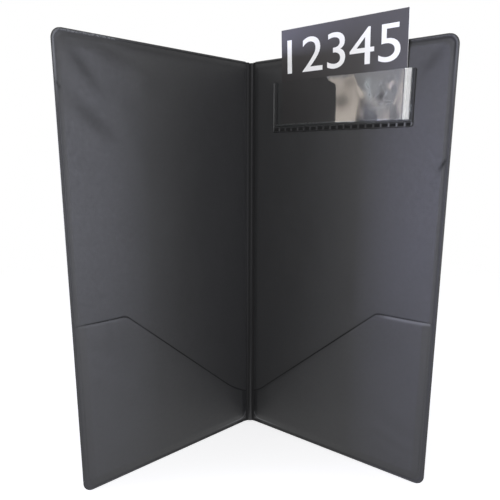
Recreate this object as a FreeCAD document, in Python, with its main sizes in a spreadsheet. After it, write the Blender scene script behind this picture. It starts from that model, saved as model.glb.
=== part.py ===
import FreeCAD, Part
import math
import os

import Sketcher

# Guest check presenter: a heat-sealed vinyl folder that stands open on its bottom edges.
#
# Lengths are in millimetres, angles in degrees. The row frame has +Z up and its origin at the foot of
# the spine, midway between the two creases. The inside of the folder faces -Y.
#
# Each cover is drawn in a frame of its own: x runs from the crease to the free edge, z runs up, and
# depth is counted from the seam plane, where the two vinyl sheets are fused, positive towards the
# inside of the folder.

SIZE_TABLE = (
    ("opening_angle", 90.0, "angle between the insides of the covers as the folder stands"),
    ("cover_height", 254.0, "height of a cover, 10 inches"),
    ("cover_width", 140.0, "crease to free edge, 5.5 inches"),
    ("cover_corner", 6.0, "radius of a cover's free corners"),
    ("crease_spacing", 5.0, "distance between the two crease axes"),
    ("rim_half_thickness", 0.35, "one sheet in the fused rim, half the rim's thickness"),
    ("rim_width", 2.5, "flat rim around the padded field"),
    ("crease_margin", 2.2, "crease axis to the padded field"),
    ("field_corner", 6.5, "radius of the padded field's corners"),
    ("web_width", 1.2, "crease axis to the ends of the two sheets"),
    ("hinge_clearance", 0.3, "crease weld to spine strip"),
    ("board_thickness", 2.0, "stiffener board"),
    ("board_front_depth", 0.5, "part of the board in front of the seam plane"),
    ("board_inset", 0.8, "edge of the padded field to the board"),
    ("board_clearance", 0.2, "board to the vinyl round its edge"),
    ("board_corner", 5.0, "radius of the board's corners"),
    ("outer_sheet", 0.45, "thickness of the outer vinyl"),
    ("outer_round", 1.0, "rounding of the outside of the padded field"),
    ("lining_sheet", 0.35, "thickness of the lining vinyl"),
    ("lining_round", 0.4, "rounding of the inside of the padded field"),
    ("bead_inset", 0.7, "free edge to the weld bead"),
    ("bead_width", 0.9, "width of the weld bead"),
    ("bead_height", 0.25, "weld bead above the rim"),
    ("rib_height", 0.9, "spine rib in front of the seam plane"),
    ("rib_crown", 1.8, "width of the rib's flat crown"),
    ("back_height", 0.8, "spine strip behind the seam plane"),
    ("back_crown", 2.2, "width of the spine strip's flat back"),
    ("pocket_sheet", 0.35, "thickness of the pocket vinyl"),
    ("pocket_gap", 0.4, "room behind the pocket for slips"),
    ("pocket_inset", 0.7, "edge of the padded field to the pocket"),
    ("pocket_height", 101.5, "flat top of the pocket above the bottom edge"),
    ("left_pocket_peak", 108.3, "crease axis to the centre of the left pocket's rounded peak"),
    ("right_pocket_peak", 105.3, "crease axis to the centre of the right pocket's rounded peak"),
    ("pocket_peak_round", 8.0, "radius of a pocket's peak"),
    ("left_pocket_sweep", 86.0, "radius of the left pocket's hollow curve towards the spine"),
    ("right_pocket_sweep", 35.0, "radius of the right pocket's hollow curve towards the spine"),
    ("pocket_low_height", 24.8, "pocket edge at the spine above the bottom edge"),
    ("pocket_low_angle", 22.0, "rise of the pocket edge where it leaves the spine"),
    ("pocket_corner", 6.0, "radius of the pocket's bottom corners"),
    ("pocket_seam_width", 2.0, "weld along a pocket's three sides"),
    ("window_left", 17.4, "crease axis to the window"),
    ("window_top_margin", 14.7, "top edge of the cover to the window"),
    ("window_width", 100.3, "window with its welds"),
    ("window_height", 30.3, "window with its bottom weld"),
    ("window_gap", 0.9, "room behind the film for a card"),
    ("window_side_weld", 4.0, "width of the window's side welds"),
    ("window_foot_weld", 4.7, "height of the window's bottom weld"),
    ("window_corner", 1.5, "radius of the window's bottom corners"),
    ("film_thickness", 0.25, "clear film"),
    ("tooth_row_height", 2.9, "toothed row at the foot of the bottom weld"),
    ("tooth_pitch", 4.8, "one tooth print to the next"),
    ("tooth_width", 3.6, "width of a tooth print"),
    ("tooth_height", 1.9, "height of a tooth print"),
    ("tooth_foot", 0.5, "window's bottom edge to the tooth prints"),
    ("tooth_depth", 0.6, "depth of a tooth print"),
    ("card_height", 55.0, "guest card"),
    ("card_thickness", 0.35, "guest card"),
    ("card_left_margin", 4.0, "window's left weld to the card"),
    ("card_right_margin", 1.3, "card to the window's right weld"),
    ("card_seat_clearance", 0.3, "window's bottom weld to the card"),
)

PARTS_FOLDER = "parts"
SHEET_NAME = "sizes"
STRAIGHT_ANGLE = 180


class Size:
    """A length as both its formula over the sheet's cells and its present value."""

    def __init__(self, text, value):
        self.text = text
        self.value = value

    def __add__(self, other):
        return Size(f"({self.text} + {other.text})", self.value + other.value)

    def __sub__(self, other):
        return Size(f"({self.text} - {other.text})", self.value - other.value)

    def __mul__(self, factor):
        return Size(f"({self.text} * {factor})", self.value * factor)

    def __truediv__(self, factor):
        return Size(f"({self.text} / {factor})", self.value / factor)

    def __neg__(self):
        return Size(f"(-{self.text})", -self.value)

    def times_sine(self, angle):
        """This length times the sine of an angle in degrees."""
        value = self.value * math.sin(math.radians(angle.value))
        return Size(f"({self.text} * sin({angle.text} * 1 deg))", value)


class Sizes:
    """The sheet's cells, each as a Size under its own name."""


ZERO = Size("0", 0)


def write_sheet(doc):
    """Puts the driving dimensions in the sheet and returns them by name."""
    sheet = doc.addObject("Spreadsheet::Sheet", SHEET_NAME)
    sizes = Sizes()
    for row, (name, value, meaning) in enumerate(SIZE_TABLE, start=1):
        sheet.set(f"A{row}", name)
        sheet.set(f"B{row}", str(value))
        sheet.set(f"C{row}", meaning)
        sheet.setAlias(f"B{row}", name)
        setattr(sizes, name, Size(f"{SHEET_NAME}.{name}", value))
    doc.recompute()
    return sizes


doc = FreeCAD.newDocument("check_presenter")
s = write_sheet(doc)

# Depths that several pieces share, counted from the seam plane.
BOARD_BACK_DEPTH = s.board_thickness - s.board_front_depth
FIELD_FRONT = s.board_front_depth + s.lining_sheet
FIELD_BACK = BOARD_BACK_DEPTH + s.outer_sheet
STRIP_HALF_WIDTH = s.crease_spacing / 2 - s.rim_half_thickness - s.hinge_clearance
COVER_TURN = (Size(str(STRAIGHT_ANGLE), STRAIGHT_ANGLE) - s.opening_angle) / 2


class Side:
    """Where a piece hangs: its crease, its turn about the vertical, its inside and its pocket."""

    def __init__(self, name, crease_x, turn, inside_is_minus_y, pocket_peak=ZERO, pocket_sweep=ZERO):
        self.name = name
        self.crease_x = crease_x
        self.turn = turn
        self.inside_is_minus_y = inside_is_minus_y
        self.pocket_peak = pocket_peak
        self.pocket_sweep = pocket_sweep


RIGHT = Side(
    "right",
    s.crease_spacing / 2,
    -COVER_TURN,
    True,
    s.right_pocket_peak,
    s.right_pocket_sweep,
)
LEFT = Side(
    "left",
    -s.crease_spacing / 2,
    Size(str(STRAIGHT_ANGLE), STRAIGHT_ANGLE) + COVER_TURN,
    False,
    s.left_pocket_peak,
    s.left_pocket_sweep,
)
SPINE = Side("spine", ZERO, ZERO, True)


def origin_plane(body, role):
    """One of the body's own three base planes."""
    for feature in body.Origin.OriginFeatures:
        if feature.Role == role:
            return feature
    raise ValueError(role)


def new_body(label, side):
    """An empty body in the frame of its side, with its place tied to the sheet."""
    body = doc.addObject("PartDesign::Body", label)
    body.Label = label
    body.Placement = FreeCAD.Placement(
        FreeCAD.Vector(side.crease_x.value, 0, 0),
        FreeCAD.Rotation(FreeCAD.Vector(0, 0, 1), side.turn.value),
    )
    if side is not SPINE:
        body.setExpression("Placement.Base.x", side.crease_x.text)
        body.setExpression("Placement.Rotation.Angle", side.turn.text)
    return body


def face_sketch(body, name, side, depth):
    """A sketch parallel to the cover's face, at a depth; its axes are the cover's x and z."""
    sketch = body.newObject("Sketcher::SketchObject", name)
    sketch.AttachmentSupport = [(origin_plane(body, "XZ_Plane"), "")]
    sketch.MapMode = "FlatFace"
    offset = depth if side.inside_is_minus_y else -depth
    sketch.setExpression("AttachmentOffset.Base.z", offset.text)
    return sketch


def plan_sketch(body, name):
    """A sketch on the ground plane, for a section that runs up the crease."""
    sketch = body.newObject("Sketcher::SketchObject", name)
    sketch.AttachmentSupport = [(origin_plane(body, "XY_Plane"), "")]
    sketch.MapMode = "FlatFace"
    return sketch


def tie(sketch, constraint, size):
    """Adds a constraint whose value follows a size."""
    index = sketch.addConstraint(constraint)
    sketch.setExpression(f"Constraints[{index}]", size.text)


def place_line(sketch, line, end, direction, size):
    """Holds one end of a line at a distance from the sketch's origin, along X or Y."""
    origin, axis_x, axis_y = (-1, 1), -1, -2
    if size.text == ZERO.text:
        axis = axis_y if direction == "DistanceX" else axis_x
        sketch.addConstraint(Sketcher.Constraint("PointOnObject", line, end, axis))
        return
    if size.value > 0:
        tie(sketch, Sketcher.Constraint(direction, *origin, line, end, size.value), size)
    else:
        tie(sketch, Sketcher.Constraint(direction, line, end, *origin, -size.value), -size)


def square_outline(sketch, corners):
    """Draws a closed outline of level and upright lines.

    corners go round in order, each (x, y, radius), with radius None for a sharp corner.
    """
    count = len(corners)
    points = [FreeCAD.Vector(x.value, y.value, 0) for x, y, _ in corners]
    radii = [radius.value if radius else 0 for _, _, radius in corners]
    unit = [(points[(i + 1) % count] - points[i]).normalize() for i in range(count)]
    lines = []
    for i in range(count):
        start = points[i] + unit[i] * radii[i]
        end = points[(i + 1) % count] - unit[i] * radii[(i + 1) % count]
        lines.append(sketch.addGeometry(Part.LineSegment(start, end), False))
    for i, line in enumerate(lines):
        x, y, _ = corners[i]
        if abs(unit[i].x) > abs(unit[i].y):
            sketch.addConstraint(Sketcher.Constraint("Horizontal", line))
            place_line(sketch, line, 1, "DistanceY", y)
        else:
            sketch.addConstraint(Sketcher.Constraint("Vertical", line))
            place_line(sketch, line, 1, "DistanceX", x)
    for i in range(count):
        before, after = lines[i - 1], lines[i]
        radius = corners[i][2]
        if radius is None:
            sketch.addConstraint(Sketcher.Constraint("Coincident", before, 2, after, 1))
            continue
        round_corner(sketch, before, after, points[i], unit[i - 1], unit[i], radius)


def round_corner(sketch, before, after, corner, unit_before, unit_after, radius):
    """Joins two lines that already stop short of their corner with a tangent arc."""
    start = corner - unit_before * radius.value
    end = corner + unit_after * radius.value
    centre = corner - unit_before * radius.value + unit_after * radius.value
    middle = centre + (corner - centre).normalize() * radius.value
    arc = sketch.addGeometry(Part.Arc(start, middle, end), False)
    turns_left = unit_before.cross(unit_after).z > 0
    arc_start, arc_end = (1, 2) if turns_left else (2, 1)
    sketch.addConstraint(Sketcher.Constraint("Tangent", before, 2, arc, arc_start))
    sketch.addConstraint(Sketcher.Constraint("Tangent", after, 1, arc, arc_end))
    tie(sketch, Sketcher.Constraint("Radius", arc, radius.value), radius)


def rectangle(sketch, left, right, bottom, top):
    """A plain rectangle with sharp corners."""
    square_outline(
        sketch, [(left, bottom, None), (right, bottom, None), (right, top, None), (left, top, None)]
    )


def layer(body, name, side, draw, depth, thickness):
    """Pads an outline from a depth towards the inside of the folder."""
    sketch = face_sketch(body, f"{name}_outline", side, depth)
    draw(sketch)
    pad = body.newObject("PartDesign::Pad", name)
    pad.Profile = sketch
    pad.Reversed = not side.inside_is_minus_y
    pad.setExpression("Length", thickness.text)
    doc.recompute()
    return pad


def hollow(body, name, side, draw, depth, thickness):
    """Cuts an outline out of a body, from a depth towards the inside of the folder."""
    sketch = face_sketch(body, f"{name}_outline", side, depth)
    draw(sketch)
    before = body.Shape.Volume
    cut = body.newObject("PartDesign::Pocket", name)
    cut.Profile = sketch
    cut.Reversed = side.inside_is_minus_y
    cut.setExpression("Length", thickness.text)
    doc.recompute()
    if not body.Shape.Volume < before:
        raise ValueError(f"{name} cuts nothing")
    return cut


def column(body, name, draw, height):
    """Pads a section on the ground plane up to a height."""
    sketch = plan_sketch(body, f"{name}_section")
    draw(sketch)
    pad = body.newObject("PartDesign::Pad", name)
    pad.Profile = sketch
    pad.setExpression("Length", height.text)
    doc.recompute()
    return pad


def soften(body, name, side, depth, radius):
    """Rounds every edge of a body that lies flat at one depth."""
    doc.recompute()
    tip = body.Tip
    level = -depth.value if side.inside_is_minus_y else depth.value
    tolerance = radius.value / 1000
    edges = []
    for number, edge in enumerate(tip.Shape.Edges, start=1):
        box = edge.BoundBox
        if abs(box.YMin - level) < tolerance and abs(box.YMax - level) < tolerance:
            edges.append(f"Edge{number}")
    rounding = body.newObject("PartDesign::Fillet", name)
    rounding.Base = (tip, edges)
    rounding.setExpression("Radius", radius.text)
    doc.recompute()
    return rounding


def rim_outline(sketch):
    """A whole cover's sheet, from the crease web to its rounded free corners."""
    square_outline(
        sketch,
        [
            (s.web_width, ZERO, None),
            (s.cover_width, ZERO, s.cover_corner),
            (s.cover_width, s.cover_height, s.cover_corner),
            (s.web_width, s.cover_height, None),
        ],
    )


def field_outline(sketch, inset=ZERO, corner=s.field_corner):
    """The padded field, or the same outline drawn further in."""
    left = s.crease_margin + inset
    right = s.cover_width - s.rim_width - inset
    bottom = s.rim_width + inset
    top = s.cover_height - s.rim_width - inset
    square_outline(
        sketch,
        [
            (left, bottom, corner),
            (right, bottom, corner),
            (right, top, corner),
            (left, top, corner),
        ],
    )


def board_outline(sketch):
    """The stiffener board."""
    field_outline(sketch, s.board_inset, s.board_corner)


def board_room_outline(sketch):
    """The room that the vinyl leaves round the board."""
    field_outline(sketch, s.board_inset - s.board_clearance, s.board_corner + s.board_clearance)


def outer_cover(side):
    """The outer sheet of one cover: a flat rim, and a tray pressed out over the board."""
    body = new_body(f"{side.name}_outer_cover", side)
    layer(body, f"{side.name}_outer_rim", side, rim_outline, -s.rim_half_thickness, s.rim_half_thickness)
    layer(
        body,
        f"{side.name}_outer_field",
        side,
        field_outline,
        -FIELD_BACK,
        FIELD_BACK - s.rim_half_thickness,
    )
    soften(body, f"{side.name}_outer_softening", side, -FIELD_BACK, s.outer_round)
    hollow(
        body,
        f"{side.name}_outer_room",
        side,
        board_room_outline,
        -BOARD_BACK_DEPTH,
        BOARD_BACK_DEPTH,
    )
    return body


def lining(side):
    """The inner sheet of one cover, pressed over the front of the board."""
    body = new_body(f"{side.name}_lining", side)
    layer(body, f"{side.name}_lining_rim", side, rim_outline, ZERO, s.rim_half_thickness)
    layer(
        body,
        f"{side.name}_lining_field",
        side,
        field_outline,
        s.rim_half_thickness,
        FIELD_FRONT - s.rim_half_thickness,
    )
    soften(body, f"{side.name}_lining_softening", side, FIELD_FRONT, s.lining_round)
    hollow(body, f"{side.name}_lining_room", side, board_room_outline, ZERO, s.board_front_depth)
    return body


def board(side):
    """The stiff board sealed between the two sheets."""
    body = new_body(f"{side.name}_board", side)
    layer(body, f"{side.name}_board_slab", side, board_outline, -BOARD_BACK_DEPTH, s.board_thickness)
    return body


def web_section(sketch):
    """The crease weld's section: a short tongue with a half-round end about the crease axis."""
    half = s.rim_half_thickness
    end = s.web_width
    upper = sketch.addGeometry(
        Part.LineSegment(
            FreeCAD.Vector(end.value, half.value, 0), FreeCAD.Vector(0, half.value, 0)
        ),
        False,
    )
    nose = sketch.addGeometry(
        Part.Arc(
            FreeCAD.Vector(0, half.value, 0),
            FreeCAD.Vector(-half.value, 0, 0),
            FreeCAD.Vector(0, -half.value, 0),
        ),
        False,
    )
    lower = sketch.addGeometry(
        Part.LineSegment(
            FreeCAD.Vector(0, -half.value, 0), FreeCAD.Vector(end.value, -half.value, 0)
        ),
        False,
    )
    root = sketch.addGeometry(
        Part.LineSegment(
            FreeCAD.Vector(end.value, -half.value, 0), FreeCAD.Vector(end.value, half.value, 0)
        ),
        False,
    )
    sketch.addConstraint(Sketcher.Constraint("Horizontal", upper))
    sketch.addConstraint(Sketcher.Constraint("Horizontal", lower))
    sketch.addConstraint(Sketcher.Constraint("Vertical", root))
    sketch.addConstraint(Sketcher.Constraint("Tangent", upper, 2, nose, 1))
    sketch.addConstraint(Sketcher.Constraint("Tangent", nose, 2, lower, 1))
    sketch.addConstraint(Sketcher.Constraint("Coincident", lower, 2, root, 1))
    sketch.addConstraint(Sketcher.Constraint("Coincident", root, 2, upper, 1))
    sketch.addConstraint(Sketcher.Constraint("Coincident", nose, 3, -1, 1))
    tie(sketch, Sketcher.Constraint("Radius", nose, half.value), half)
    place_line(sketch, root, 1, "DistanceX", end)


def crease_weld(side):
    """The thin fused web that a cover folds on."""
    body = new_body(f"{side.name}_crease_weld", side)
    column(body, f"{side.name}_crease_web", web_section, s.cover_height)
    return body


def bead_outline(sketch):
    """The weld bead: a narrow band along a cover's three free sides, open at the crease."""
    low = s.bead_inset
    high = s.bead_inset + s.bead_width
    start = s.crease_margin
    outer_corner = s.cover_corner - s.bead_inset
    inner_corner = s.cover_corner - s.bead_inset - s.bead_width
    square_outline(
        sketch,
        [
            (start, low, None),
            (s.cover_width - low, low, outer_corner),
            (s.cover_width - low, s.cover_height - low, outer_corner),
            (start, s.cover_height - low, None),
            (start, s.cover_height - high, None),
            (s.cover_width - high, s.cover_height - high, inner_corner),
            (s.cover_width - high, high, inner_corner),
            (start, high, None),
        ],
    )


def edge_weld(side):
    """The squeezed bead that the sealing press leaves on the rim."""
    body = new_body(f"{side.name}_edge_weld", side)
    layer(body, f"{side.name}_edge_bead", side, bead_outline, s.rim_half_thickness, s.bead_height)
    return body


# The pocket's own outline, in from the padded field on every side.
POCKET_LEFT = s.crease_margin + s.pocket_inset
POCKET_RIGHT = s.cover_width - s.rim_width - s.pocket_inset
POCKET_BOTTOM = s.rim_width + s.pocket_inset


def cut_edge_normal(peak, peak_round, sweep_centre, sweep):
    """Unit normal, upwards, of the line that runs over the peak's circle and under the sweep's."""
    across = sweep_centre - peak
    bearing = math.atan2(across.y, across.x)
    angle = bearing - math.acos((sweep + peak_round) / across.Length)
    return FreeCAD.Vector(math.cos(angle), math.sin(angle), 0)


def pocket_outline(sketch, side):
    """A pocket sheet: level top, rounded peak, straight cut edge and a hollow curve to the spine."""
    peak_round, sweep_round = s.pocket_peak_round.value, side.pocket_sweep.value
    low_angle = math.radians(s.pocket_low_angle.value)
    right_way, up = FreeCAD.Vector(1, 0, 0), FreeCAD.Vector(0, 1, 0)
    spine_end = FreeCAD.Vector(POCKET_LEFT.value, s.pocket_low_height.value, 0)
    bottom_left = FreeCAD.Vector(POCKET_LEFT.value, POCKET_BOTTOM.value, 0)
    bottom_right = FreeCAD.Vector(POCKET_RIGHT.value, POCKET_BOTTOM.value, 0)
    top_right = FreeCAD.Vector(POCKET_RIGHT.value, s.pocket_height.value, 0)
    peak = FreeCAD.Vector(side.pocket_peak.value, s.pocket_height.value - peak_round, 0)
    low_normal = FreeCAD.Vector(-math.sin(low_angle), math.cos(low_angle), 0)
    sweep_centre = spine_end + low_normal * sweep_round
    normal = cut_edge_normal(peak, peak_round, sweep_centre, sweep_round)
    level_end = peak + up * peak_round
    cut_start = peak + normal * peak_round
    cut_end = sweep_centre - normal * sweep_round
    peak_middle = peak + (up + normal).normalize() * peak_round
    sweep_middle = sweep_centre - (low_normal + normal).normalize() * sweep_round
    radius = s.pocket_corner.value

    crease_side = sketch.addGeometry(
        Part.LineSegment(spine_end, bottom_left + up * radius), False
    )
    bottom = sketch.addGeometry(
        Part.LineSegment(bottom_left + right_way * radius, bottom_right - right_way * radius), False
    )
    free_side = sketch.addGeometry(
        Part.LineSegment(bottom_right + up * radius, top_right), False
    )
    level = sketch.addGeometry(Part.LineSegment(top_right, level_end), False)
    peak_arc = sketch.addGeometry(Part.Arc(level_end, peak_middle, cut_start), False)
    cut_edge = sketch.addGeometry(Part.LineSegment(cut_start, cut_end), False)
    sweep = sketch.addGeometry(Part.Arc(cut_end, sweep_middle, spine_end), False)

    for line in (bottom, level):
        sketch.addConstraint(Sketcher.Constraint("Horizontal", line))
    for line in (crease_side, free_side):
        sketch.addConstraint(Sketcher.Constraint("Vertical", line))
    place_line(sketch, crease_side, 1, "DistanceX", POCKET_LEFT)
    place_line(sketch, crease_side, 1, "DistanceY", s.pocket_low_height)
    place_line(sketch, bottom, 1, "DistanceY", POCKET_BOTTOM)
    place_line(sketch, free_side, 2, "DistanceX", POCKET_RIGHT)
    place_line(sketch, level, 1, "DistanceY", s.pocket_height)
    round_corner(sketch, crease_side, bottom, bottom_left, -up, right_way, s.pocket_corner)
    round_corner(sketch, bottom, free_side, bottom_right, right_way, up, s.pocket_corner)
    sketch.addConstraint(Sketcher.Constraint("Coincident", free_side, 2, level, 1))
    sketch.addConstraint(Sketcher.Constraint("Tangent", level, 2, peak_arc, 1))
    sketch.addConstraint(Sketcher.Constraint("Tangent", peak_arc, 2, cut_edge, 1))
    sketch.addConstraint(Sketcher.Constraint("Tangent", cut_edge, 2, sweep, 2))
    sketch.addConstraint(Sketcher.Constraint("Coincident", sweep, 1, crease_side, 1))
    tie(sketch, Sketcher.Constraint("Radius", peak_arc, peak_round), s.pocket_peak_round)
    tie(sketch, Sketcher.Constraint("Radius", sweep, sweep_round), side.pocket_sweep)
    place_line(sketch, peak_arc, 3, "DistanceX", side.pocket_peak)
    centre_x = POCKET_LEFT - side.pocket_sweep.times_sine(s.pocket_low_angle)
    place_line(sketch, sweep, 3, "DistanceX", centre_x)


def pocket(side):
    """The pocket sheet of one cover, standing off the lining by the room for slips."""
    body = new_body(f"{side.name}_pocket", side)

    def outline(sketch):
        pocket_outline(sketch, side)

    layer(
        body,
        f"{side.name}_pocket_sheet",
        side,
        outline,
        FIELD_FRONT + s.pocket_gap,
        s.pocket_sheet,
    )
    return body


def pocket_seam_outline(sketch):
    """The weld along the pocket's free side, bottom and crease side."""
    width = s.pocket_seam_width
    inner_corner = s.pocket_corner - width
    square_outline(
        sketch,
        [
            (POCKET_LEFT, POCKET_BOTTOM, s.pocket_corner),
            (POCKET_RIGHT, POCKET_BOTTOM, s.pocket_corner),
            (POCKET_RIGHT, s.pocket_height, None),
            (POCKET_RIGHT - width, s.pocket_height, None),
            (POCKET_RIGHT - width, POCKET_BOTTOM + width, inner_corner),
            (POCKET_LEFT + width, POCKET_BOTTOM + width, inner_corner),
            (POCKET_LEFT + width, s.pocket_low_height, None),
            (POCKET_LEFT, s.pocket_low_height, None),
        ],
    )


def pocket_seam(side):
    """Joins the pocket sheet to the lining on three sides."""
    body = new_body(f"{side.name}_pocket_seam", side)
    layer(
        body, f"{side.name}_pocket_weld", side, pocket_seam_outline, FIELD_FRONT, s.pocket_gap
    )
    return body


def ridge_section(sketch, height, crown):
    """A ridge on the spine: foot on the seam plane between the creases, narrower flat crown."""
    foot = STRIP_HALF_WIDTH
    top = crown / 2
    corners = [(-foot, ZERO), (-top, height), (top, height), (foot, ZERO)]
    points = [FreeCAD.Vector(x.value, y.value, 0) for x, y in corners]
    lines = [
        sketch.addGeometry(Part.LineSegment(point, points[(i + 1) % len(points)]), False)
        for i, point in enumerate(points)
    ]
    for i, line in enumerate(lines):
        following = lines[(i + 1) % len(lines)]
        sketch.addConstraint(Sketcher.Constraint("Coincident", line, 2, following, 1))
        place_line(sketch, line, 1, "DistanceX", corners[i][0])
        place_line(sketch, line, 1, "DistanceY", corners[i][1])


def spine_lining_rib():
    """The lining between the two crease welds, which bulges into a rib."""
    body = new_body("spine_lining_rib", SPINE)

    def section(sketch):
        ridge_section(sketch, -s.rib_height, s.rib_crown)

    column(body, "spine_rib", section, s.cover_height)
    return body


def spine_outer_strip():
    """The outer sheet between the two crease welds."""
    body = new_body("spine_outer_strip", SPINE)

    def section(sketch):
        ridge_section(sketch, s.back_height, s.back_crown)

    column(body, "spine_back", section, s.cover_height)
    return body


def spine_pocket_strip():
    """The pocket sheet where it crosses the rib, below the V notch."""
    body = new_body("spine_pocket_strip", SPINE)

    def section(sketch):
        half = s.rib_crown / 2
        rectangle(sketch, -half, half, -s.rib_height - s.pocket_sheet, -s.rib_height)

    column(body, "spine_pocket_web", section, s.pocket_low_height)
    return body


WINDOW_RIGHT = s.window_left + s.window_width
WINDOW_TOP = s.cover_height - s.window_top_margin
WINDOW_BOTTOM = WINDOW_TOP - s.window_height


def window_seam_outline(sketch):
    """The window's weld along its left, bottom and right sides."""
    square_outline(
        sketch,
        [
            (s.window_left, WINDOW_BOTTOM, s.window_corner),
            (WINDOW_RIGHT, WINDOW_BOTTOM, s.window_corner),
            (WINDOW_RIGHT, WINDOW_TOP, None),
            (WINDOW_RIGHT - s.window_side_weld, WINDOW_TOP, None),
            (WINDOW_RIGHT - s.window_side_weld, WINDOW_BOTTOM + s.window_foot_weld, None),
            (s.window_left + s.window_side_weld, WINDOW_BOTTOM + s.window_foot_weld, None),
            (s.window_left + s.window_side_weld, WINDOW_TOP, None),
            (s.window_left, WINDOW_TOP, None),
        ],
    )


def tooth_row_outline(sketch):
    """The strip below the film that carries the toothed prints."""
    square_outline(
        sketch,
        [
            (s.window_left, WINDOW_BOTTOM, s.window_corner),
            (WINDOW_RIGHT, WINDOW_BOTTOM, s.window_corner),
            (WINDOW_RIGHT, WINDOW_BOTTOM + s.tooth_row_height, None),
            (s.window_left, WINDOW_BOTTOM + s.tooth_row_height, None),
        ],
    )


def first_tooth_outline(sketch):
    """The tooth print nearest the spine."""
    left = s.window_left + s.window_corner
    bottom = WINDOW_BOTTOM + s.tooth_foot
    rectangle(sketch, left, left + s.tooth_width, bottom, bottom + s.tooth_height)


def card_window_seam():
    """The weld that holds the clear film on three sides, with its toothed row."""
    body = new_body("card_window_seam", RIGHT)
    layer(body, "window_weld", RIGHT, window_seam_outline, FIELD_FRONT, s.window_gap)
    layer(
        body,
        "tooth_row",
        RIGHT,
        tooth_row_outline,
        FIELD_FRONT + s.window_gap,
        s.film_thickness,
    )
    tooth = hollow(
        body,
        "tooth_print",
        RIGHT,
        first_tooth_outline,
        FIELD_FRONT + s.window_gap + s.film_thickness - s.tooth_depth,
        s.tooth_depth,
    )
    run = s.window_width - s.window_corner * 2 - s.tooth_width
    steps = int(run.value // s.tooth_pitch.value)
    pattern = body.newObject("PartDesign::LinearPattern", "tooth_prints")
    pattern.Originals = [tooth]
    pattern.Direction = (tooth.Profile[0], ["H_Axis"])
    pattern.Occurrences = steps + 1
    pattern.setExpression("Length", f"{s.tooth_pitch.text} * {steps}")
    body.Tip = pattern
    doc.recompute()
    return body


def card_window_film():
    """The clear film, open along its top."""
    body = new_body("card_window_film", RIGHT)

    def outline(sketch):
        rectangle(
            sketch,
            s.window_left,
            WINDOW_RIGHT,
            WINDOW_BOTTOM + s.tooth_row_height,
            WINDOW_TOP,
        )

    layer(body, "film", RIGHT, outline, FIELD_FRONT + s.window_gap, s.film_thickness)
    return body


def guest_card():
    """The card that stands in the window and shows above the cover."""
    body = new_body("guest_card", RIGHT)
    left = s.window_left + s.window_side_weld + s.card_left_margin
    right = WINDOW_RIGHT - s.window_side_weld - s.card_right_margin
    bottom = WINDOW_BOTTOM + s.window_foot_weld + s.card_seat_clearance

    def outline(sketch):
        rectangle(sketch, left, right, bottom, bottom + s.card_height)

    depth = FIELD_FRONT + (s.window_gap - s.card_thickness) / 2
    layer(body, "card", RIGHT, outline, depth, s.card_thickness)
    return body


def check(bodies):
    """Stops if a feature failed or a piece is not one sound solid."""
    doc.recompute()
    for item in doc.Objects:
        if "Invalid" in item.State or "Error" in item.State:
            raise ValueError(f"{item.Name}: {item.State}")
    for body in bodies:
        if body.Shape.isNull() or not body.Shape.isValid() or len(body.Shape.Solids) != 1:
            raise ValueError(f"{body.Label} is not one valid solid")


def main():
    """Builds every piece and writes one file for each."""
    bodies = [spine_outer_strip(), spine_lining_rib(), spine_pocket_strip()]
    for side in (LEFT, RIGHT):
        bodies += [outer_cover(side), board(side), lining(side), crease_weld(side), edge_weld(side)]
        bodies += [pocket_seam(side), pocket(side)]
    bodies += [card_window_seam(), card_window_film(), guest_card()]
    check(bodies)
    os.makedirs(PARTS_FOLDER, exist_ok=True)
    for body in bodies:
        body.Shape.exportStep(f"{PARTS_FOLDER}/{body.Label}.step")
        box = body.Shape.BoundBox
        print(
            f"{body.Label:22s} {body.Shape.Volume:10.1f} mm3"
            f"  x {box.XMin:8.2f} {box.XMax:8.2f}"
            f"  y {box.YMin:8.2f} {box.YMax:8.2f}"
            f"  z {box.ZMin:8.2f} {box.ZMax:8.2f}"
        )


main()
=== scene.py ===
import math

import bpy
import numpy as np
from mathutils import Matrix, Vector

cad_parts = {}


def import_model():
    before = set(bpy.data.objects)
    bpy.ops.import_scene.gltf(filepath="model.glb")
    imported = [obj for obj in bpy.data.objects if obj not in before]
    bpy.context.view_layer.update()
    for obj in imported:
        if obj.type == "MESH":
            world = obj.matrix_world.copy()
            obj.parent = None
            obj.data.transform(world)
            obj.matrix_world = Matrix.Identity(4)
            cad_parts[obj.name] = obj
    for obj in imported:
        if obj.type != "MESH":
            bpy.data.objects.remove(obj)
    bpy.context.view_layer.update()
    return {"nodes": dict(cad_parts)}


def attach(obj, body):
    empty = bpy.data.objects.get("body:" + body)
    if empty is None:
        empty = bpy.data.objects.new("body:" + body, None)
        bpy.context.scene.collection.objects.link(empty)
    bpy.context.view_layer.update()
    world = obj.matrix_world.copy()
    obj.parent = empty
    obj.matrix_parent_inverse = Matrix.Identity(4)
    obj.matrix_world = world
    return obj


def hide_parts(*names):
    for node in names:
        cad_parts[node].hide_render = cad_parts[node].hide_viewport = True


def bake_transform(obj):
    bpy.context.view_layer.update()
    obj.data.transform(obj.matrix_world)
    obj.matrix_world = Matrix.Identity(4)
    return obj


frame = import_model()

# The look of the guest check presenter: black sealed vinyl, a clear film window and a card.
#
# Lengths are in millimetres unless a name says otherwise. A cover has a frame of its own: x runs from
# the crease to the free edge, z runs up, and depth is counted from the seam plane of the two fused
# sheets towards the inside of the folder. The spine has the same frame, with x across it. Meshes are
# built in metres in the row frame. LEFT and RIGHT are the signs of X on either side of the spine.

MM = 0.001
LEFT, RIGHT = -1, 1
SHEET_UV = "sheet"
UV_LENGTH = 10
SHARP_ANGLE = math.radians(42)
NOISE_WAVES = 14
BAND_REACH = 0.55

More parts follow.
